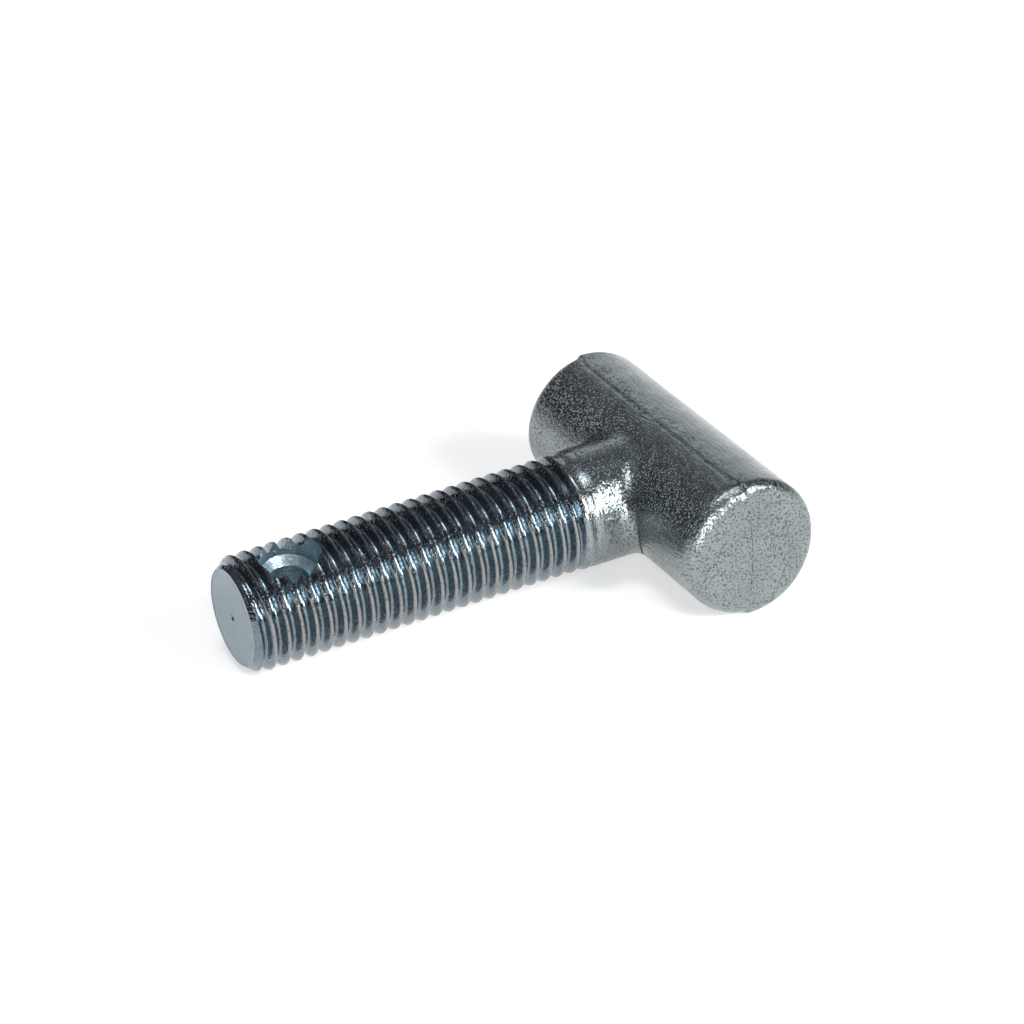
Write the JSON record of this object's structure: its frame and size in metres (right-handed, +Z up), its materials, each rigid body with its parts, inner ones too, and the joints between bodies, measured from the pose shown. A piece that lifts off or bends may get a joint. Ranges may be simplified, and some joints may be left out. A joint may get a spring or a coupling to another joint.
{
  "type": "t slot bolt",
  "caption": "Forged bolt with a round cross bar for a head, a rolled metric thread over most of the shank and a stepped cross hole behind its chamfered tip.",
  "frame": {"origin": "where the axis of the cross bar and the axis of the shank meet", "axes": "+Y along the cross bar, -X from the bar towards the tip and within two degrees of the shank's axis, +Z up as the bolt lies on its bar and its thread"},
  "size_m": [0.0922, 0.0582, 0.024],
  "materials": {
    "zinc_plated_steel": "bright zinc plate over forged steel"
  },
  "bodies": {
    "root": {"t_bolt": "zinc_plated_steel"}
  },
  "joints": []
}
